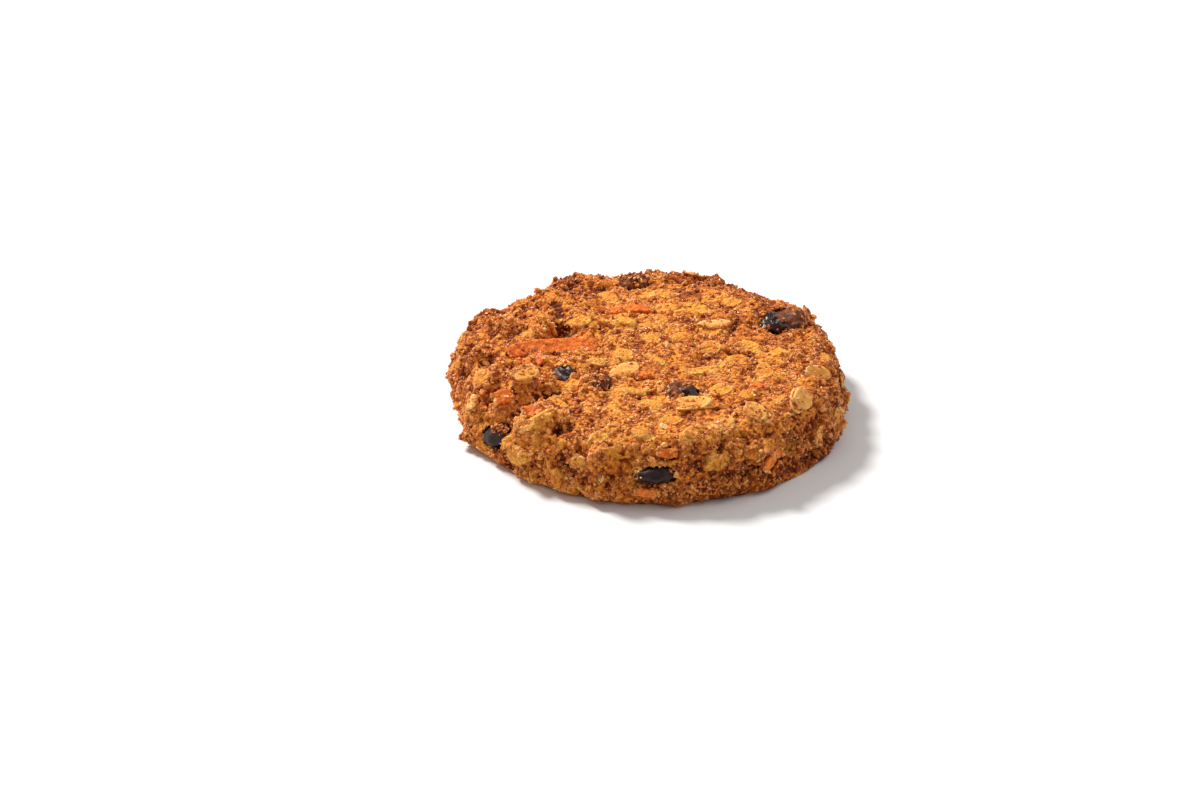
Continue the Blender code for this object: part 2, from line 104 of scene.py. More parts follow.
# Where the solid has flakes that lie bare on the dough, and golden ones, in millimetres from the axis
BARE_FLAKES = ((11, -27), (-6, -10), (26, -32), (37, -23), (41, -10), (41, -26))
GOLDEN_FLAKES = (
    (12, 23), (15, 3), (16, 12), (13, -8), (10, -42),
    (25, 3), (-30, -18), (18, -37), (-32, -35), (21, 25),
)
SAME_PLACE = 2  # millimetres
FLATNESS = 0.004 * MM  # how far the corners of a flake's flat top may lie from one plane
FLAKE_TOP = 0.76  # width of the flat top of a flake of the solid, as a share of its whole width
OAT_THICKNESS = 0.16  # of a rolled oat that is a unit long
OAT_SHAPES = 6
OAT_SEED = 7
BARE_LIFT = 0.35 * MM  # how far a bare flake lies above the flake of the solid
BARE_TONE = 0.74

# Of each crumb mesh: the settings that it takes, how finely its crumbs are divided, and its seed
CRUMB_MESHES = {
    "coarse_crumbs": ("coarse", 2, 21),
    "medium_crumbs": ("medium", 1, 24),
    "fine_crumbs": ("fine", 1, 22),
    "crumb_dust": ("dust", 1, 23),
}
CRUMB_SHAPES = 6


# Settings

def length(name, description, default):
    return bpy.props.FloatProperty(
        name=name, description=description, default=default, unit="LENGTH", precision=5
    )


def colour(name, description, default):
    return bpy.props.FloatVectorProperty(
        name=name, description=description, default=default, subtype="COLOR", size=3, min=0, max=1
    )


def share(name, description, default):
    return bpy.props.FloatProperty(name=name, description=description, default=default, min=0, max=1)


def number(name, description, default):
    return bpy.props.IntProperty(name=name, description=description, default=default, min=0)


class DoughSettings(bpy.types.PropertyGroup):
    """The baked dough"""

    grain: length("Mesh grain", "Edge length of the dough's mesh", 0.445 * MM)
    lump_size: length("Lump size", "Width of the lumps in the dough", 5.0 * MM)
    lump_height: length("Lump height", "Height of the lumps in the dough", 1.6 * MM)
    crumb_size: length("Crumb size", "Width of the coarse crumb", 2.0 * MM)
    crumb_height: length("Crumb height", "Height of the coarse crumb", 0.9 * MM)
    fine_size: length("Fine crumb size", "Width of the fine crumb", 1.0 * MM)
    fine_height: length("Fine crumb height", "Height of the fine crumb", 0.38 * MM)
    flake: colour("Flake", "Middle of a browned flake in the dough", (0.86, 0.30, 0.034))
    flake_gold: colour("Golden flake", "Middle of a golden flake in the dough", (0.98, 0.45, 0.055))
    flake_rim: colour("Flake rim", "Outer edge of a flake in the dough", (1.0, 0.63, 0.20))
    gold: colour("Gold", "Palest dough, on the flat parts", (0.92, 0.43, 0.075))
    amber: colour("Amber", "Most of the dough", (0.86, 0.275, 0.030))
    brown: colour("Brown", "Well baked dough, on the lumps and rim", (0.42, 0.080, 0.011))
    # The darkest dough colour is reached in the crevices through painted shade
    dark: colour("Dark", "Dough in the crevices", (0.11, 0.015, 0.002))


class FlakeSettings(bpy.types.PropertyGroup):
    """The oat flakes"""

    fragments: number("Fragments", "Broken flakes between the whole ones", 130)
    fragment_size: length("Fragment size", "Length of a broken flake", 4.4 * MM)
    thickness: length("Thickness", "Thickness of a whole flake", 0.5 * MM)
    shown: share("Shown", "Share of the solid's other flakes that have a rolled oat in them", 0.22)
    sink: length("Sink", "How far such an oat lies under the solid's flake", 0.55 * MM)
    lean: bpy.props.FloatProperty(
        name="Lean", description="How far the bare flakes lean to the front", default=0.4
    )
    heart: colour("Heart", "Middle of a flake", (0.88, 0.36, 0.042))
    rim: colour("Rim", "Outer edge of a flake", (0.97, 0.53, 0.13))
    pale: colour("Pale", "The palest flakes", (0.97, 0.62, 0.25))
    toasted: colour("Toasted", "Browned part of a flake", (0.60, 0.18, 0.024))


class CrumbSettings(bpy.types.PropertyGroup):
    """The loose-looking crumbs that are baked on"""

    coarse: number("Coarse crumbs", "How many coarse crumbs", 1800)
    coarse_size: length("Coarse size", "Width of a coarse crumb", 0.98 * MM)
    medium: number("Medium crumbs", "How many medium crumbs", 5000)
    medium_size: length("Medium size", "Width of a medium crumb", 0.8 * MM)
    fine: number("Fine crumbs", "How many fine crumbs", 7500)
    fine_size: length("Fine size", "Width of a fine crumb", 0.62 * MM)
    dust: number("Crumb dust", "How many of the smallest crumbs", 7500)
    dust_size: length("Dust size", "Width of the smallest crumbs", 0.42 * MM)
    pale: colour("Pale crumb", "Palest crumbs", (0.95, 0.54, 0.17))
    tan: colour("Tan crumb", "Pinkish tan crumbs", (0.84, 0.34, 0.10))
    brown: colour("Brown crumb", "Most crumbs", (0.62, 0.19, 0.036))
    dark: colour("Dark crumb", "Darkest crumbs", (0.26, 0.058, 0.014))


class RaisinSettings(bpy.types.PropertyGroup):
    """The raisins"""

    grain: length("Mesh grain", "Edge length of a raisin's mesh", 0.2 * MM)
    wrinkle_size: length("Wrinkle size", "Spacing of the wrinkles", 3.4 * MM)
    wrinkle_depth: length("Wrinkle depth", "Depth of the wrinkles", 0.8 * MM)
    skin: colour("Skin", "Darkest skin", (0.010, 0.007, 0.009))
    # The ridge skin is partly translucent skin and partly a painted highlight on the wrinkles' tops
    ridge: colour("Ridge", "Skin on the wrinkles' ridges", (0.06, 0.016, 0.008))
    film: colour("Dough film", "Dough baked onto the skin", (0.26, 0.062, 0.018))


class CarrotSettings(bpy.types.PropertyGroup):
    """The carrot shreds"""

    grain: length("Mesh grain", "Edge length of a shred's mesh", 0.2 * MM)
    flesh: colour("Flesh", "Carrot flesh", (0.92, 0.225, 0.010))
    core: colour("Core", "Darker streaks in the flesh", (0.70, 0.11, 0.006))


class StudioSettings(bpy.types.PropertyGroup):
    """The floor, light and camera"""

    floor: colour("Floor", "Colour of the floor", (0.86, 0.85, 0.84))
    elevation: bpy.props.FloatProperty(
        name="Camera elevation",
        description="Angle above the horizon",
        default=math.radians(28.9),
        subtype="ANGLE",
    )
    distance: length("Camera distance", "From the cookie to the camera", 2.0)
    pixel: length("Pixel", "Width that one pixel of the photograph covers at the cookie", 0.2456 * MM)


GROUPS = {
    "dough": DoughSettings,
    "flakes": FlakeSettings,
    "raisins": RaisinSettings,
    "carrot": CarrotSettings,
    "crumbs": CrumbSettings,
    "studio": StudioSettings,
}


class CookieSettings(bpy.types.PropertyGroup):
    """All settings of the cookie"""

    dough: bpy.props.PointerProperty(type=DoughSettings)
    flakes: bpy.props.PointerProperty(type=FlakeSettings)
    crumbs: bpy.props.PointerProperty(type=CrumbSettings)
    raisins: bpy.props.PointerProperty(type=RaisinSettings)
    carrot: bpy.props.PointerProperty(type=CarrotSettings)
    studio: bpy.props.PointerProperty(type=StudioSettings)


# Modelling helpers

def only(obj):
    """Selects one object alone and makes it active."""
    bpy.ops.object.select_all(action="DESELECT")
    obj.select_set(True)
    bpy.context.view_layer.objects.active = obj
    return obj


def modify(obj, kind, **settings):
    """Adds a modifier with its settings and applies it."""
    only(obj)
    modifier = obj.modifiers.new(kind.title(), kind)
    for name, value in settings.items():
        setattr(modifier, name, value)
    bpy.ops.object.modifier_apply(modifier=modifier.name)


def merged_copy(node_name, name):
    """A copy of a CAD node's mesh with its loose triangles joined."""
    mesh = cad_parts[node_name].data.copy()
    mesh.name = name
    mesh.materials.clear()
    obj = bpy.data.objects.new(name, mesh)
    bpy.context.scene.collection.objects.link(obj)
    only(obj)
    bpy.ops.object.mode_set(mode="EDIT")
    bpy.ops.mesh.select_all(action="SELECT")
    bpy.ops.mesh.remove_doubles(threshold=1e-6)
    bpy.ops.object.mode_set(mode="OBJECT")
    return obj


def pattern(name, kind, size, **settings):
    """A procedural texture for Displace, at a feature size in metres."""
    texture = bpy.data.textures.new(name, kind)
    texture.noise_scale = size
    for key, value in settings.items():
        setattr(texture, key, value)
    return texture


def roughen(obj, texture, height, middle=0.5, group=""):
    """Moves the surface in and out along its normals by a pattern."""
    modify(
        obj,
        "DISPLACE",
        texture=texture,
        strength=height,
        mid_level=middle,
        texture_coords="LOCAL",
        vertex_group=group,
    )


def vertex_array(mesh, attribute="co"):
    values = np.empty(len(mesh.vertices) * 3, np.float32)
    mesh.vertices.foreach_get(attribute, values)
    return values.reshape(-1, 3).astype(np.float64)


def smoothed(mesh, values, rounds):
    """Values at vertices, averaged with their neighbours' a number of times."""
    edges = np.empty(len(mesh.edges) * 2, np.int32)
    mesh.edges.foreach_get("vertices", edges)
    one, two = edges.reshape(-1, 2).T
    count = np.bincount(one, minlength=len(values)) + np.bincount(two, minlength=len(values))
    for _ in range(rounds):
        total = np.stack(
            [
                np.bincount(one, values[two, k], len(values)) + np.bincount(two, values[one, k], len(values))
                for k in range(values.shape[1])
            ],
            axis=1,
        )
        values = (values + total) / (1 + count)[:, None]
    return values


def write_attribute(mesh, name, values):
    attribute = mesh.attributes.new(name, "FLOAT", "POINT")
    attribute.data.foreach_set("value", np.ascontiguousarray(values, np.float32))


def finish(obj, slot_name, *nodes, angular=False):
    """A finished piece rides on the cookie and stands for its CAD nodes. Its faces are smooth or angular."""
    if angular:
        obj.data.shade_flat()
    else:
        obj.data.shade_smooth()
    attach(obj, "root")
    if nodes:
        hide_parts(*nodes)


def triangles_of(mesh):
    mesh.calc_loop_triangles()
    corners = np.empty(len(mesh.loop_triangles) * 3, np.int32)
    mesh.loop_triangles.foreach_get("vertices", corners)
    return corners.reshape(-1, 3)


def read_attribute(mesh, name):
    values = np.empty(len(mesh.vertices), np.float32)
    mesh.attributes[name].data.foreach_get("value", values)
    return values.astype(np.float64)


def surface_spots(obj, count, draw, weight):
    """Points, normals and darkening spread at random over a surface, by area and by a weight at each vertex;
    the darkening is the dough's painted shade in its crevices with its browning at the rim and base, and none
    on other surfaces.
    """
    mesh = obj.data
    points, normals, corners = vertex_array(mesh), vertex_array(mesh, "normal"), triangles_of(mesh)
    painted_shade_and_crust = read_attribute(mesh, "painted_shade_and_crust") if "painted_shade_and_crust" in mesh.attributes else np.zeros(len(points))
    a, b, c = (points[corners[:, k]] for k in range(3))
    area = np.linalg.norm(np.cross(b - a, c - a), axis=1) * weight[corners].mean(axis=1)
    chosen = draw.choice(len(corners), count, p=area / area.sum())
    u, v = draw.random((2, count))
    over = u + v > 1
    u[over], v[over] = 1 - u[over], 1 - v[over]
    found = np.column_stack([points, normals, painted_shade_and_crust])
    found = sum(m[:, None] * found[corners[chosen, k]] for k, m in enumerate((1 - u - v, u, v)))
    normal = found[:, 3:6]
    return found[:, :3], normal / np.linalg.norm(normal, axis=1)[:, None], found[:, 6]


def frames_on(normals, spin):
    """Rotations whose third axis is the normal and whose first axis is turned by spin."""
    helper = np.where(np.abs(normals[:, 2:3]) < 0.9, [[0.0, 0.0, 1.0]], [[1.0, 0.0, 0.0]])
    x = np.cross(helper, normals)
    x /= np.linalg.norm(x, axis=1)[:, None]
    y = np.cross(normals, x)
    turned_x = x * np.cos(spin)[:, None] + y * np.sin(spin)[:, None]
    return np.stack([turned_x, np.cross(normals, turned_x), normals], axis=2)


def joined_copies(name, shapes, which, places, frames, sizes):
    """One mesh of copies of a few small shapes, and each vertex's copy and place in the shape."""
    points, faces, owner, in_shape, start = [], [], [], [], 0
    for index, (shape_points, shape_faces) in enumerate(shapes):
        mine = np.flatnonzero(which == index)
        if not len(mine):
            continue
        local = shape_points[None] * sizes[mine][:, None, :]
        world = np.einsum("nij,nkj->nki", frames[mine], local) + places[mine][:, None, :]
        offsets = start + np.arange(len(mine)) * len(shape_points)
        points.append(world.reshape(-1, 3))
        faces.append((shape_faces[None] + offsets[:, None, None]).reshape(-1, 3))
        owner.append(np.repeat(mine, len(shape_points)))
        in_shape.append(np.tile(shape_points, (len(mine), 1)))
        start += len(mine) * len(shape_points)
    mesh = bpy.data.meshes.new(name)
    mesh.from_pydata(np.concatenate(points).tolist(), [], np.concatenate(faces).tolist())
    obj = bpy.data.objects.new(name, mesh)
    bpy.context.scene.collection.objects.link(obj)
    return obj, np.concatenate(owner), np.concatenate(in_shape)


def take_shape(obj):
    """The points and triangles of an object, which is then removed."""
    points, faces = vertex_array(obj.data), triangles_of(obj.data).copy()
    bpy.data.objects.remove(obj, do_unlink=True)
    return points, faces


# Material helpers

class Graph:
    """The nodes of one material, added from the shader backwards"""

    def __init__(self, name):
        self.material = bpy.data.materials.new(name)
        self.material.use_nodes = True
        self.tree = self.material.node_tree
        self.shader = self.tree.nodes["Principled BSDF"]
        self.place = self.node("TexCoord").outputs["Object"]

    def node(self, kind, **settings):
        node = self.tree.nodes.new("ShaderNode" + kind)
        for name, value in settings.items():
            setattr(node, name, value)
        return node

    def feed(self, socket, value):
        if isinstance(value, bpy.types.NodeSocket):
            self.tree.links.new(value, socket)
        else:
            socket.default_value = value

    def set(self, **values):
        """Sets or links the shader's sockets."""
        for name, value in values.items():
            self.feed(self.shader.inputs[name.replace("_", " ")], value)

    def value(self, name):
        return self.node("Attribute", attribute_name=name).outputs["Fac"]

    def noise(self, size, detail=2.0, rough=0.5):
        node = self.node("TexNoise")
        self.feed(node.inputs["Vector"], self.place)
        node.inputs["Scale"].default_value = 1 / size
        node.inputs["Detail"].default_value = detail
        node.inputs["Roughness"].default_value = rough
        return node.outputs["Fac"]

    def cells(self, size, output="Color"):
        node = self.node("TexVoronoi")
        self.feed(node.inputs["Vector"], self.place)
        node.inputs["Scale"].default_value = 1 / size
        return node.outputs[output]

    def math(self, operation, a, b=0.0):
        node = self.node("Math", operation=operation)
        self.feed(node.inputs[0], a)
        self.feed(node.inputs[1], b)
        return node.outputs[0]

    def fit(self, value, low, high, to_low=0.0, to_high=1.0):
        """Maps a value from one range to another, within its ends."""
        node = self.node("MapRange")
        for socket, entry in zip(node.inputs, (value, low, high, to_low, to_high)):
            self.feed(socket, entry)
        return node.outputs[0]

    def mix(self, factor, a, b):
        """Blends two colours, each a socket or three numbers."""
        node = self.node("Mix", data_type="RGBA")
        sockets = (node.inputs["Factor"], node.inputs[6], node.inputs[7])
        for socket, value in zip(sockets, (factor, a, b)):
            self.feed(socket, (*value, 1.0) if isinstance(value, tuple) else value)
        return node.outputs[2]

    def ramp(self, factor, *stops):
        """A run of colours: each stop is a position and a colour."""
        node = self.node("ValToRGB")
        self.feed(node.inputs["Fac"], factor)
        ramp = node.color_ramp
        while len(ramp.elements) < len(stops):
            ramp.elements.new(0.5)
        for element, (position, value) in zip(ramp.elements, stops):
            element.position, element.color = position, (*value, 1.0)
        return node.outputs["Color"]

    def bump(self, height, distance, strength=1.0, normal=None):
        node = self.node("Bump")
        node.inputs["Strength"].default_value = strength
        node.inputs["Distance"].default_value = distance
        self.feed(node.inputs["Height"], height)
        if normal is not None:
            self.feed(node.inputs["Normal"], normal)
        return node.outputs["Normal"]


def browning(graph):
    """Broad patches that are darker or lighter than the rest."""
    return graph.fit(graph.noise(10 * MM, 3), 0.3, 0.7, -BROWNING, BROWNING)


def dough_material(settings):
    graph = Graph("baked dough")
    spread = graph.node("SeparateColor")
    graph.feed(spread.inputs[0], graph.cells(0.85 * MM))
    cell = graph.fit(spread.outputs[0], 0, 1, -0.32, 0.3)
    # Lighter on ridges, a painted highlight, and darker in crevices, painted shade with some deeper browning
    rise = graph.fit(graph.value("rise"), -1, 1, -0.42, 0.2)
    tone = graph.math("ADD", graph.math("ADD", cell, rise), graph.math("ADD", browning(graph), 0.71))
    # Darker by painted shade in the crevices and by browning at the rim and base, partly painted shade on the
    # walls
    tone = graph.math("SUBTRACT", tone, graph.value("painted_shade_and_crust"))
    stops = ((0.0, settings.dark), (0.3, settings.brown), (0.62, settings.amber), (1.0, settings.gold))
    crumb = graph.ramp(tone, *((place, tuple(tint)) for place, tint in stops))
    edge = graph.fit(graph.value("flake_edge"), 0.72, 0.95)
    golden = graph.fit(graph.value("flake_tone"), 0.3, 0.7)
    heart = graph.mix(golden, tuple(settings.flake), tuple(settings.flake_gold))
    flake = graph.mix(edge, heart, tuple(settings.flake_rim))
    flake = graph.mix(graph.fit(graph.noise(2.2 * MM, 3), 0.44, 0.64, 0, 0.8), flake, crumb)
    speckle = graph.fit(graph.noise(0.8 * MM, 3), 0.4, 0.55, 1, 0.3)
    bare = graph.math("MULTIPLY", graph.value("flake"), speckle)
    grains = graph.bump(graph.cells(0.75 * MM, "Distance"), -0.45 * MM, 1.0)
    raised = graph.math("MULTIPLY", graph.value("flake"), graph.fit(edge, 0, 1, 0.35, 1))
    lip = graph.bump(raised, 0.5 * MM, 0.9, grains)
    graph.set(
        Base_Color=graph.mix(bare, crumb, flake),
        Roughness=graph.fit(graph.noise(1.2 * MM, 2), 0.35, 0.65, 0.36, 0.7),
        Normal=graph.bump(graph.noise(0.4 * MM, 4, 0.65), 0.34 * MM, 0.9, lip),
        Specular_IOR_Level=0.3,
        Specular_Tint=(1.0, 0.5, 0.3, 1.0),
        Subsurface_Weight=0.12,
        Subsurface_Radius=(1.0, 0.4, 0.12),
        Subsurface_Scale=1.2 * MM,
    )
    return graph.material


def crumb_material(settings):
    graph = Graph("crumbs")
    tone = graph.math("ADD", graph.value("tone"), browning(graph))
    stops = ((0.0, settings.dark), (0.38, settings.brown), (0.72, settings.tan), (1.0, settings.pale))
    graph.set(
        Base_Color=graph.ramp(tone, *((place, tuple(tint)) for place, tint in stops)),
        Roughness=graph.fit(graph.value("gloss"), 0, 1, 0.16, 0.7),
        Normal=graph.bump(graph.noise(0.35 * MM, 3, 0.6), 0.12 * MM, 0.6),
        Specular_IOR_Level=0.5,
        Specular_Tint=(1.0, 0.6, 0.45, 1.0),
        Subsurface_Weight=0.08,
        Subsurface_Radius=(1.0, 0.4, 0.12),
        Subsurface_Scale=0.7 * MM,
    )
    return graph.material


def flake_material(settings):
    graph = Graph("oat flakes")
    blotch = graph.fit(graph.noise(1.8 * MM, 3), 0.42, 0.6)
    crusted = graph.fit(graph.math("ADD", graph.value("cover"), graph.noise(1.1 * MM, 3)), 0.62, 0.85)
    toasted = graph.math("MULTIPLY", blotch, graph.fit(graph.value("tone"), 0, 0.9, 0.85, 0.1))
    toasted = graph.math("MAXIMUM", toasted, crusted)
    body = graph.mix(graph.fit(graph.value("edge"), 0.74, 0.98), tuple(settings.heart), tuple(settings.rim))
    body = graph.mix(graph.fit(graph.value("tone"), 0.72, 0.95), body, tuple(settings.pale))
    graph.set(
        Base_Color=graph.mix(toasted, body, tuple(settings.toasted)),
        Roughness=graph.fit(graph.noise(1.5 * MM, 2), 0.35, 0.65, 0.36, 0.6),
        Normal=graph.bump(graph.noise(0.45 * MM, 3, 0.6), 0.2 * MM, 0.8),
        Specular_IOR_Level=0.3,
        Subsurface_Weight=0.25,
        Subsurface_Radius=(1.0, 0.45, 0.12),
        Subsurface_Scale=0.9 * MM,
    )
    return graph.material


def raisin_material(settings):
    graph = Graph("raisin skin")
    # Lighter red-brown skin on the wrinkles' ridges: partly translucent skin, partly a painted highlight
    skin = graph.mix(graph.fit(graph.value("rise"), -0.1, 0.9), tuple(settings.skin), tuple(settings.ridge))
    film = graph.fit(graph.value("film"), 0.35, 0.65)
    grainy = graph.math("MULTIPLY", graph.noise(0.7 * MM, 3, 0.6), graph.math("ADD", film, 0.15))
    mottle = graph.fit(graph.noise(1.1 * MM, 3), 0.3, 0.62)
    mottled = graph.mix(mottle, tuple(settings.skin), tuple(settings.film))
    shine = graph.fit(graph.value("dull"), 0, 1, 0.24, 0.5)
    graph.set(
        Base_Color=graph.mix(film, skin, mottled),
        Roughness=graph.math("ADD", shine, graph.math("MULTIPLY", film, 0.4)),
        Normal=graph.bump(grainy, 0.4 * MM, 0.8),
        Specular_IOR_Level=0.36,
        Specular_Tint=(1.0, 0.78, 0.66, 1.0),
    )
    return graph.material


def carrot_material(settings):
    graph = Graph("carrot")
    streaks = graph.fit(graph.noise(0.9 * MM, 3), 0.42, 0.66)
    graph.set(
        Base_Color=graph.mix(streaks, tuple(settings.flesh), tuple(settings.core)),
        Roughness=graph.fit(graph.noise(1.0 * MM, 2), 0.35, 0.65, 0.36, 0.58),
        Normal=graph.bump(graph.noise(0.5 * MM, 3), 0.25 * MM, 0.8),
        Specular_IOR_Level=0.35,
        Subsurface_Weight=0.25,
        Subsurface_Radius=(1.0, 0.3, 0.1),
        Subsurface_Scale=1.0 * MM,
    )
    return graph.material


# Dough

class COOKIE_OT_dough(bpy.types.Operator):
    """Bakes the dough from the plain solid: finer mesh, lumps, crumb and a flat base"""

    bl_idname = "cookie.dough"
    bl_label = "Baked dough"

    def execute(self, context):
        settings = context.scene.cookie.dough
        dough = merged_copy("cookie", "baked_dough")
        modify(dough, "REMESH", mode="VOXEL", voxel_size=settings.grain)
        flat_base(dough, BASE_CUT)
        modify(dough, "SMOOTH", factor=0.6, iterations=2)
        flakes = mark_flakes(dough)
        raised_group(dough, (1 - 0.85 * flakes) * cragginess(vertex_array(dough.data)))
        lumps = pattern("lumps", "CLOUDS", settings.lump_size, noise_depth=2)
        coarse = pattern("coarse crumb", "VORONOI", settings.crumb_size, noise_intensity=1.2)
        fine = pattern("fine crumb", "VORONOI", settings.fine_size, noise_intensity=1.2)
        roughen(dough, lumps, settings.lump_height, 0.55, "raised")
        roughen(dough, coarse, -settings.crumb_height, 0.4, "raised")
        roughen(dough, fine, -settings.fine_height, 0.4, "raised")
        modify(dough, "SMOOTH", factor=0.4, iterations=1)
        settle(dough)
        # How far each point stands out; the colour paints highlights on the ridges and shade in the crevices
        # from it
        write_attribute(dough.data, "rise", standing_out(dough, 14, 0.5 * MM))
        # Darkening for the colour: painted shade deep in the crevices, with browning near the rim and, on the
        # walls, browning and painted shade
        write_attribute(dough.data, "painted_shade_and_crust", 1.2 * pits(dough) + 0.24 * crust_and_wall_shade(dough))
        dough.data.materials.append(dough_material(settings))
        finish(dough, "baked_dough", "cookie")
        return {"FINISHED"}


def flat_base(obj, height):
    """Cuts the mesh just above its base, closes it with one face, and puts that face on the ground."""
    only(obj)
    bpy.ops.object.mode_set(mode="EDIT")
    bpy.ops.mesh.select_all(action="SELECT")
    bpy.ops.mesh.bisect(plane_co=(0, 0, height), plane_no=(0, 0, 1), use_fill=True, clear_inner=True)
    bpy.ops.object.mode_set(mode="OBJECT")
    points = vertex_array(obj.data)
    points[points[:, 2] < height + 1e-6, 2] = 0
    obj.data.vertices.foreach_set("co", points.astype(np.float32).ravel())


def mark_flakes(obj):
    """Writes where the solid's flakes lie, how near to their edge and how golden, and returns the first."""
    points = vertex_array(obj.data)
    inside, nearness, tone = (np.zeros(len(points)) for _ in range(3))
    for centre, normal, along, flake_length, flake_width in flat_patches():
        near = np.flatnonzero(np.linalg.norm(points - centre, axis=1) < flake_length)
        offset = points[near] - centre
        u = offset @ along / flake_length * 2
        v = offset @ np.cross(normal, along) / flake_width * 2
        w = offset @ normal
        ragged = [0.16 * noise.noise(Vector(point) / (1.6 * MM)) for point in points[near]]
        radius = np.hypot(u, v) + ragged
        within = np.clip((1.04 - radius) / 0.1, 0, 1) * (np.abs(w) < 0.9 * MM)
        inside[near] = np.maximum(inside[near], within)
        nearer = np.maximum(nearness[near], radius.clip(0, 1))
        nearness[near] = np.where(within > 0, nearer, nearness[near])
        golden = 0.5 if close_to(centre, GOLDEN_FLAKES) else 0
        tone[near[within > 0]] = 0.45 + golden + 0.9 * noise.noise(Vector(centre) / (5 * MM))
    write_attribute(obj.data, "flake", inside)
    write_attribute(obj.data, "flake_edge", nearness)
    write_attribute(obj.data, "flake_tone", tone)
    return inside


def close_to(centre, places):
    """Whether a flake's centre is one of the places given in millimetres."""
    return any(math.dist(centre[:2] / MM, place) < SAME_PLACE for place in places)


def cragginess(places):
    """1 at the craggy left, falling to 0.65 over the calmer right of the cookie."""
    return np.clip(1 - 0.35 * (places[:, 0] + 26 * MM) / (24 * MM), 0.65, 1)


def raised_group(obj, amount):
    """A vertex group for the crumb, at an amount for each vertex, that fades out at the base edge."""
    group = obj.vertex_groups.new(name="raised")
    heights = vertex_array(obj.data)[:, 2]
    weights = np.clip((heights - 0.1 * MM) / (1.6 * MM), 0, 1) * amount
    for level in np.unique(np.round(weights, 2)):
        group.add(np.flatnonzero(np.round(weights, 2) == level).tolist(), float(level), "REPLACE")


def settle(obj):
    """Keeps every point on or above the ground, and no higher than the cookie's top crumbs."""
    points = vertex_array(obj.data)
    points[:, 2] = np.clip(points[:, 2], 0, CAD_BOX[1][2] + CREST)
    obj.data.vertices.foreach_set("co", points.astype(np.float32).ravel())
    obj.data.update()


def standing_out(obj, rounds, full):
    """How far each point stands out from its surroundings, from -1 in a crevice to 1 on a ridge."""
    mesh = obj.data
    points = vertex_array(mesh)
    out = ((points - smoothed(mesh, points, rounds)) * vertex_array(mesh, "normal")).sum(axis=1)
    return np.clip(out / full, -1, 1)


# Used only to paint shade into the crevices, for the colour of the dough and of its crumbs
def pits(obj):
    """How deep each point lies in a crevice, from 0 to 1."""
    return np.clip(-standing_out(obj, 110, 1.7 * MM) - 0.12, 0, 1)


def crust_and_wall_shade(obj):
    """How much darker each point is made: browned near the rim, less so at the front left, and darker toward
    the base, partly browning and partly painted shade on the walls, more of it on the right, away from the
    key light.
    """
    points = vertex_array(obj.data)
    out = np.hypot(points[:, 0] + 5 * MM, points[:, 1] + 9 * MM)
    rim = np.clip((out - 35 * MM) / (14 * MM), 0, 1.3)
    low = np.clip((13 * MM - points[:, 2]) / (8 * MM), 0, 1)
    # Painted shade: the walls darken towards the right side, away from the key light
    away_from_key_light = np.clip(0.6 + points[:, 0] / (60 * MM), 0.2, 1)
    return rim + 0.85 * (low * away_from_key_light)


# Oat flakes

def flat_patches():
    """Centre, normal, long axis, length and width of the solid's oat flakes, by their flat tops."""
    solid = merged_copy("cookie", "flake finder")
    shape = bmesh.new()
    shape.from_mesh(solid.data)
    bpy.data.objects.remove(solid, do_unlink=True)
    patches, seen = [], set()
    for face in sorted(shape.faces, key=lambda f: -f.calc_area()):
        if face in seen:
            continue
        patch, normal, level = [face], face.normal, face.normal.dot(face.verts[0].co)
        seen.add(face)
        for member in patch:
            for other in (f for edge in member.edges for f in edge.link_faces):
                if other not in seen and all(abs(normal.dot(v.co) - level) < FLATNESS for v in other.verts):
                    seen.add(other)
                    patch.append(other)
        area = sum(f.calc_area() for f in patch)
        centre = sum((f.calc_center_median() * f.calc_area() for f in patch), Vector()) / area
        if not 5e-6 < area < 60e-6 or len(patch) < 2 or in_pocket(centre):
            continue
        verts = dict.fromkeys(v for f in patch for v in f.verts)  # keeps their order, as a set wouldn't
        corners = np.array([v.co - centre for v in verts])
        values, axes = np.linalg.eigh(corners.T @ corners / len(corners))
        flake_length, flake_width = (2 * math.sqrt(2 * value) / FLAKE_TOP for value in (values[2], values[1]))
        patches.append((np.array(centre), np.array(normal), axes[:, 2], flake_length, flake_width))
    shape.free()
    return patches


def in_pocket(point):
    """Whether a point is where a raisin or shred lies."""
    for node_name in RAISINS + SHREDS:
        low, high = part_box(node_name)
        if all(low[k] - 0.6 * MM < point[k] < high[k] + 0.6 * MM for k in range(3)):
            return True
    return False


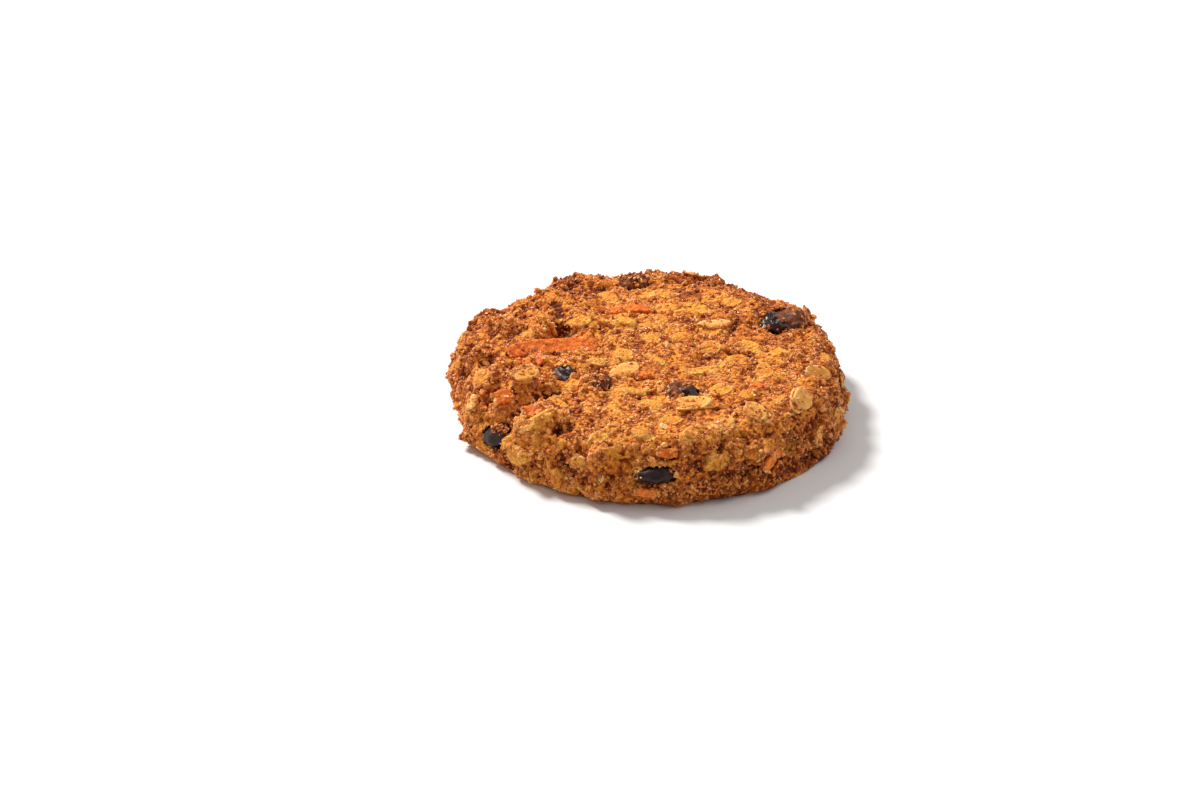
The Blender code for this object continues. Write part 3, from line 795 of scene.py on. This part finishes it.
def flake_shape(seed):
    """One rolled oat, a unit long and wide: a thin ragged oval with a crease down its middle."""
    draw = np.random.default_rng(seed)
    bpy.ops.object.select_all(action="DESELECT")
    bpy.ops.mesh.primitive_grid_add(x_subdivisions=11, y_subdivisions=8, size=2)
    flake = bpy.context.active_object
    points = vertex_array(flake.data)
    x, y = points[:, 0].copy(), points[:, 1].copy()
    u, v = x * np.sqrt(1 - y * y / 2), y * np.sqrt(1 - x * x / 2)
    angle = np.arctan2(v, u)
    ragged = 1 + sum(
        draw.uniform(-0.04, 0.04) * np.cos(k * angle + draw.uniform(0, 6.3)) for k in (1, 2, 3, 5, 7)
    )
    ragged *= 1 - draw.uniform(0, 0.2) * np.exp(-((angle - draw.uniform(-0.4, 0.4)) / 0.2) ** 2)
    u, v = u * ragged * 0.5, v * ragged * 0.5
    crease = -0.07 * np.exp(-((v / 0.07) ** 2)) * np.clip(2.2 - 5 * np.abs(u), 0, 1)
    cup = draw.uniform(-0.9, 0.3) * (v * v) + draw.uniform(-0.7, 0.4) * u * u
    ripple = [0.06 * noise.noise(Vector((a * 5, b * 5, seed))) for a, b in zip(u, v)]
    flake.data.vertices.foreach_set(
        "co", np.stack([u, v, crease + cup + ripple], axis=1).astype(np.float32).ravel()
    )
    modify(flake, "SOLIDIFY", thickness=OAT_THICKNESS, offset=-1.0)
    return take_shape(flake)


class COOKIE_OT_flakes(bpy.types.Operator):
    """Lays rolled oats on some flakes of the solid, and broken ones between them"""

    bl_idname = "cookie.flakes"
    bl_label = "Oat flakes"

    def execute(self, context):
        settings = context.scene.cookie.flakes
        draw = np.random.default_rng(OAT_SEED)
        shapes = [flake_shape(seed) for seed in range(OAT_SHAPES)]
        whole = self.whole_flakes(settings, draw)
        broken = self.broken_flakes(settings, draw)
        places, frames, sizes, bare = (np.concatenate(pair) for pair in zip(whole, broken))
        which = draw.integers(0, len(shapes), len(places))
        flakes, owner, local = joined_copies("oat_flakes", shapes, which, places, frames, sizes)
        edge = np.hypot(local[:, 0], local[:, 1]) * 2
        side = draw.uniform(0, 2 * math.pi, len(places))[owner]
        across = (local[:, 0] * np.cos(side) + local[:, 1] * np.sin(side)) * 2
        write_attribute(flakes.data, "edge", edge)
        tone = np.where(bare, BARE_TONE, draw.random(len(places)))
        write_attribute(flakes.data, "tone", tone[owner])
        cover = np.clip(edge ** 4 * 0.6 + across - 0.25, 0, 1)
        write_attribute(flakes.data, "cover", cover * np.where(bare, 0.25, 1)[owner])
        settle(flakes)
        flakes.data.materials.append(flake_material(settings))
        finish(flakes, "baked_dough")
        return {"FINISHED"}

    def whole_flakes(self, settings, draw):
        """Places, frames and sizes of some of the solid's flakes, and which of them lie bare."""
        places, frames, sizes, bare = [], [], [], []
        for centre, normal, along, flake_length, flake_width in flat_patches():
            on_dough = close_to(centre, BARE_FLAKES)
            hidden, depth = draw.random() > settings.shown, draw.uniform(0.6, 1.5)
            if hidden and not on_dough:
                continue
            if on_dough and normal[2] > 0.8:
                normal = np.array(Vector(normal + (0, -settings.lean, 0)).normalized())
                along = np.array(Vector(along - normal * (along @ normal)).normalized())
            sink = -BARE_LIFT if on_dough else settings.sink * depth
            places.append(centre - normal * sink)
            frames.append(np.stack([along, np.cross(normal, along), normal], axis=1))
            sizes.append((flake_length, flake_width, settings.thickness / OAT_THICKNESS))
            bare.append(on_dough)
        return np.array(places), np.array(frames), np.array(sizes), np.array(bare)

    def broken_flakes(self, settings, draw):
        """The same for broken flakes, spread over the dough at random, none of which counts as bare."""
        dough = bpy.data.objects["baked_dough"]
        count = settings.fragments
        places, normals, _ = surface_spots(dough, count, draw, above_base(vertex_array(dough.data)))
        frames = frames_on(tilted(normals, draw, 0.7), draw.uniform(0, 2 * math.pi, count))
        lengths = settings.fragment_size * draw.uniform(0.5, 1.4, count)
        sizes = np.stack([lengths, lengths * draw.uniform(0.4, 0.7, count), lengths * 0.55], axis=1)
        return places - normals * (lengths * 0.08)[:, None], frames, sizes, np.zeros(count, bool)


def tilted(normals, draw, amount):
    """Normals knocked off straight by a random amount."""
    knocked = normals + draw.normal(0, amount / 2, normals.shape)
    return knocked / np.linalg.norm(knocked, axis=1)[:, None]


def above_base(places):
    """1 everywhere but on the base and the lowest edge of the side."""
    return (places[:, 2] > 1.2 * MM).astype(float)


# Crumbs

def crumb_shape(seed, subdivisions):
    """One angular crumb, a unit across."""
    bpy.ops.object.select_all(action="DESELECT")
    bpy.ops.mesh.primitive_ico_sphere_add(subdivisions=subdivisions, radius=0.5)
    crumb = bpy.context.active_object
    points = vertex_array(crumb.data)
    for point in points:
        point *= 1 + 0.8 * noise.noise(Vector(point * 3.1) + Vector((seed * 7.7, 0, 0)))
    crumb.data.vertices.foreach_set("co", points.astype(np.float32).ravel())
    return take_shape(crumb)


def clustered(dough):
    """More crumbs in some patches of the dough than in others, few on its flakes and none on its base."""
    places, bare = vertex_array(dough.data), read_attribute(dough.data, "flake")
    patchy = [0.5 + 1.6 * noise.fractal(Vector(place) / (7 * MM), 1.0, 2.0, 2) for place in places]
    return np.clip(patchy, 0.12, 1.0) * above_base(places) * (1 - 0.9 * bare)


def filmed(places, node_name):
    """How much of the raisin's skin is under baked-on dough, at places on it."""
    direction, amount, _ = SKINS[node_name]
    low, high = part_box(node_name)
    offset = (places - np.array((low + high) / 2)) @ np.array(direction, float) / (high - low).length
    ragged = [0.5 * noise.noise(Vector(place) / (2.5 * MM)) for place in places]
    return np.clip(0.5 + amount + 2.2 * offset + ragged, 0, 1)


def rimmed(places, node_name):
    """1 round the edge of a raisin or shred where the dough closes on it, 0 in its middle."""
    low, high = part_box(node_name)
    middle = np.array((low + high) / 2)
    if high.z > SIDE_TOP:
        axis = np.array((0.0, 0.0, 1.0))
    else:
        axis = middle * (1, 1, 0) / np.linalg.norm(middle[:2])
    offset = places - middle
    aside = np.linalg.norm(offset - (offset @ axis)[:, None] * axis, axis=1)
    return np.clip(aside / aside.max() * 4 - 2.8, 0, 1)


def scatter_crumbs(name, count, size, subdivisions, seed, material):
    """Crumbs of random size, turn and tone, sunk part way into what they are baked onto."""
    draw = np.random.default_rng(seed)
    shapes = [crumb_shape(seed + k, subdivisions) for k in range(CRUMB_SHAPES)]
    dough, flakes = bpy.data.objects["baked_dough"], bpy.data.objects["oat_flakes"]
    spots = [
        surface_spots(dough, count, draw, clustered(dough)),
        surface_spots(flakes, count // 6, draw, read_attribute(flakes.data, "cover") ** 2 + 0.2),
    ]
    for node_name in RAISINS:
        skin = bpy.data.objects[node_name + "_skin"]
        places = vertex_array(skin.data)
        cover = filmed(places, node_name) ** 3 + rimmed(places, node_name)
        spots.append(surface_spots(skin, 1 + int(count * 0.014 * cover.mean()), draw, cover))
    for node_name in SHREDS:
        flesh = bpy.data.objects[node_name + "_flesh"]
        cover = 0.1 + rimmed(vertex_array(flesh.data), node_name)
        spots.append(surface_spots(flesh, 1 + count // 260, draw, cover))
    places, normals, spot_shade_and_crust = (np.concatenate(part) for part in zip(*spots))
    count = len(places)
    scale = size * draw.lognormal(0, 0.28, count).clip(0.5, 1.6)
    sizes = scale[:, None] * draw.uniform(0.65, 1.2, (count, 3))
    frames = frames_on(tilted(normals, draw, 1.2), draw.uniform(0, 2 * math.pi, count))
    places = places + normals * (scale * draw.uniform(-0.22, 0.24, count))[:, None]
    which = draw.integers(0, len(shapes), count)
    crumbs, owner, _ = joined_copies(name, shapes, which, places, frames, sizes)
    # A crumb's tone is random, less the darkening where it lies: painted shade in the dough's crevices and
    # the rim and base browning
    write_attribute(crumbs.data, "tone", (draw.beta(1.5, 1.3, count) - 0.6 * spot_shade_and_crust)[owner])
    write_attribute(crumbs.data, "gloss", draw.random(count)[owner])
    settle(crumbs)
    crumbs.data.materials.append(material)
    finish(crumbs, "baked_dough", angular=True)


class COOKIE_OT_crumbs(bpy.types.Operator):
    """Scatters crumbs of four sizes, down to dust, that are baked onto the dough"""

    bl_idname = "cookie.crumbs"
    bl_label = "Crumbs"

    def execute(self, context):
        settings = context.scene.cookie.crumbs
        material = crumb_material(settings)
        for name, (kind, subdivisions, seed) in CRUMB_MESHES.items():
            count, size = getattr(settings, kind), getattr(settings, kind + "_size")
            scatter_crumbs(name, count, size, subdivisions, seed, material)
        return {"FINISHED"}


# Raisins

class COOKIE_OT_raisins(bpy.types.Operator):
    """Wrinkles each raisin of the solid, with dough baked onto part of its skin"""

    bl_idname = "cookie.raisins"
    bl_label = "Raisins"

    def execute(self, context):
        settings = context.scene.cookie.raisins
        material = raisin_material(settings)
        folds = pattern(
            "raisin folds", "MUSGRAVE", settings.wrinkle_size, musgrave_type="RIDGED_MULTIFRACTAL"
        )
        for node_name in RAISINS:
            on_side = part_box(node_name)[1].z < SIDE_TOP
            raisin = merged_copy(node_name, node_name + "_skin")
            modify(raisin, "REMESH", mode="VOXEL", voxel_size=settings.grain)
            modify(raisin, "SMOOTH", factor=0.6, iterations=8)
            roughen(raisin, folds, settings.wrinkle_depth * (0.35 if on_side else 1), 0.7)
            # The ridges get lighter skin from this: partly a painted highlight
            write_attribute(raisin.data, "rise", standing_out(raisin, 10, 0.25 * MM))
            write_attribute(raisin.data, "film", filmed(vertex_array(raisin.data), node_name))
            dull = np.full(len(raisin.data.vertices), SKINS[node_name][2])
            write_attribute(raisin.data, "dull", dull)
            raisin.data.materials.append(material)
            finish(raisin, "raisin_skin", node_name)
        return {"FINISHED"}


# Carrot

class COOKIE_OT_carrot(bpy.types.Operator):
    """Gives each carrot shred of the solid a moist, fibrous surface"""

    bl_idname = "cookie.carrot"
    bl_label = "Carrot shreds"

    def execute(self, context):
        settings = context.scene.cookie.carrot
        material = carrot_material(settings)
        fibres = pattern("carrot fibres", "CLOUDS", 1.4 * MM, noise_depth=2)
        for node_name in SHREDS:
            shred = merged_copy(node_name, node_name + "_flesh")
            modify(shred, "REMESH", mode="VOXEL", voxel_size=settings.grain)
            modify(shred, "SMOOTH", factor=0.6, iterations=6)
            roughen(shred, fibres, 0.5 * MM, 0.45)
            shred.data.materials.append(material)
            finish(shred, "carrot", node_name)
        return {"FINISHED"}


# Stage

def soft_light(name, place, size, power):
    """A round area light aimed at the cookie."""
    bpy.ops.object.select_all(action="DESELECT")
    bpy.ops.object.light_add(type="AREA", location=place)
    light = bpy.context.active_object
    light.name = name
    light.data.shape = "DISK"
    light.data.size = size
    light.data.energy = power
    light.rotation_euler = (Vector((0, 0, 0.01)) - Vector(place)).to_track_quat("-Z", "Y").to_euler()


class COOKIE_OT_studio(bpy.types.Operator):
    """Sets up the pale floor, the soft light and the camera"""

    bl_idname = "cookie.studio"
    bl_label = "Studio"

    def execute(self, context):
        settings = context.scene.cookie.studio
        bpy.ops.object.select_all(action="DESELECT")
        bpy.ops.mesh.primitive_plane_add(size=FLOOR_SIZE, location=(0, 0, 0))
        floor = bpy.context.active_object
        floor.name = "studio_floor"
        graph = Graph("studio floor")
        graph.set(Base_Color=(*settings.floor, 1.0), Roughness=0.85, Specular_IOR_Level=0.2)
        floor.data.materials.append(graph.material)
        for name, (place, size, power) in LIGHTS.items():
            soft_light(name, place, size, power)
        world = bpy.data.worlds.new("studio")
        context.scene.world = world
        world.use_nodes = True
        background = world.node_tree.nodes["Background"]
        background.inputs["Color"].default_value = (1.0, 1.0, 1.0, 1.0)
        background.inputs["Strength"].default_value = SKY_STRENGTH
        context.scene.view_settings.view_transform = "Standard"
        self.add_camera(context, settings)
        return {"FINISHED"}

    def add_camera(self, context, settings):
        """Aims past the cookie, so that it stands where it does in the photograph."""
        off_right, off_down = (offset * settings.pixel for offset in PHOTO_OFFSET)
        elevation = settings.elevation
        right = Vector((1, 0, 0))
        up = Vector((0, math.sin(elevation), math.cos(elevation)))
        towards = Vector((0, math.cos(elevation), -math.sin(elevation)))
        place = -towards * settings.distance - right * off_right + up * off_down
        bpy.ops.object.camera_add(location=place, rotation=(math.pi / 2 - elevation, 0, 0))
        camera = context.active_object
        camera.name = "photo_camera"
        camera.data.sensor_width = SENSOR_WIDTH
        camera.data.lens = SENSOR_WIDTH * settings.distance / settings.pixel / PHOTO_WIDTH
        camera.data.clip_end = 20
        context.scene.camera = camera


# Panel and registration

OPERATORS = (
    COOKIE_OT_dough,
    COOKIE_OT_flakes,
    COOKIE_OT_raisins,
    COOKIE_OT_carrot,
    COOKIE_OT_crumbs,
    COOKIE_OT_studio,
)


class COOKIE_PT_panel(bpy.types.Panel):
    """Lists the cookie's pieces and their settings"""

    bl_idname = "COOKIE_PT_panel"
    bl_label = "Carrot cake cookie"
    bl_space_type = "VIEW_3D"
    bl_region_type = "UI"
    bl_category = "Cookie"

    def draw(self, context):
        for operator, (name, group) in zip(OPERATORS, GROUPS.items()):
            box = self.layout.box()
            box.operator(operator.bl_idname)
            for key in group.__annotations__:
                box.prop(getattr(context.scene.cookie, name), key)


CLASSES = (*GROUPS.values(), CookieSettings, *OPERATORS, COOKIE_PT_panel)


def register():
    for item in CLASSES:
        bpy.utils.register_class(item)
    bpy.types.Scene.cookie = bpy.props.PointerProperty(type=CookieSettings)


def unregister():
    del bpy.types.Scene.cookie
    for item in reversed(CLASSES):
        bpy.utils.unregister_class(item)


def main():
    register()
    bpy.ops.cookie.dough()
    bpy.ops.cookie.flakes()
    bpy.ops.cookie.raisins()
    bpy.ops.cookie.carrot()
    bpy.ops.cookie.crumbs()
    bpy.ops.cookie.studio()


if __name__ == "__main__":
    main()
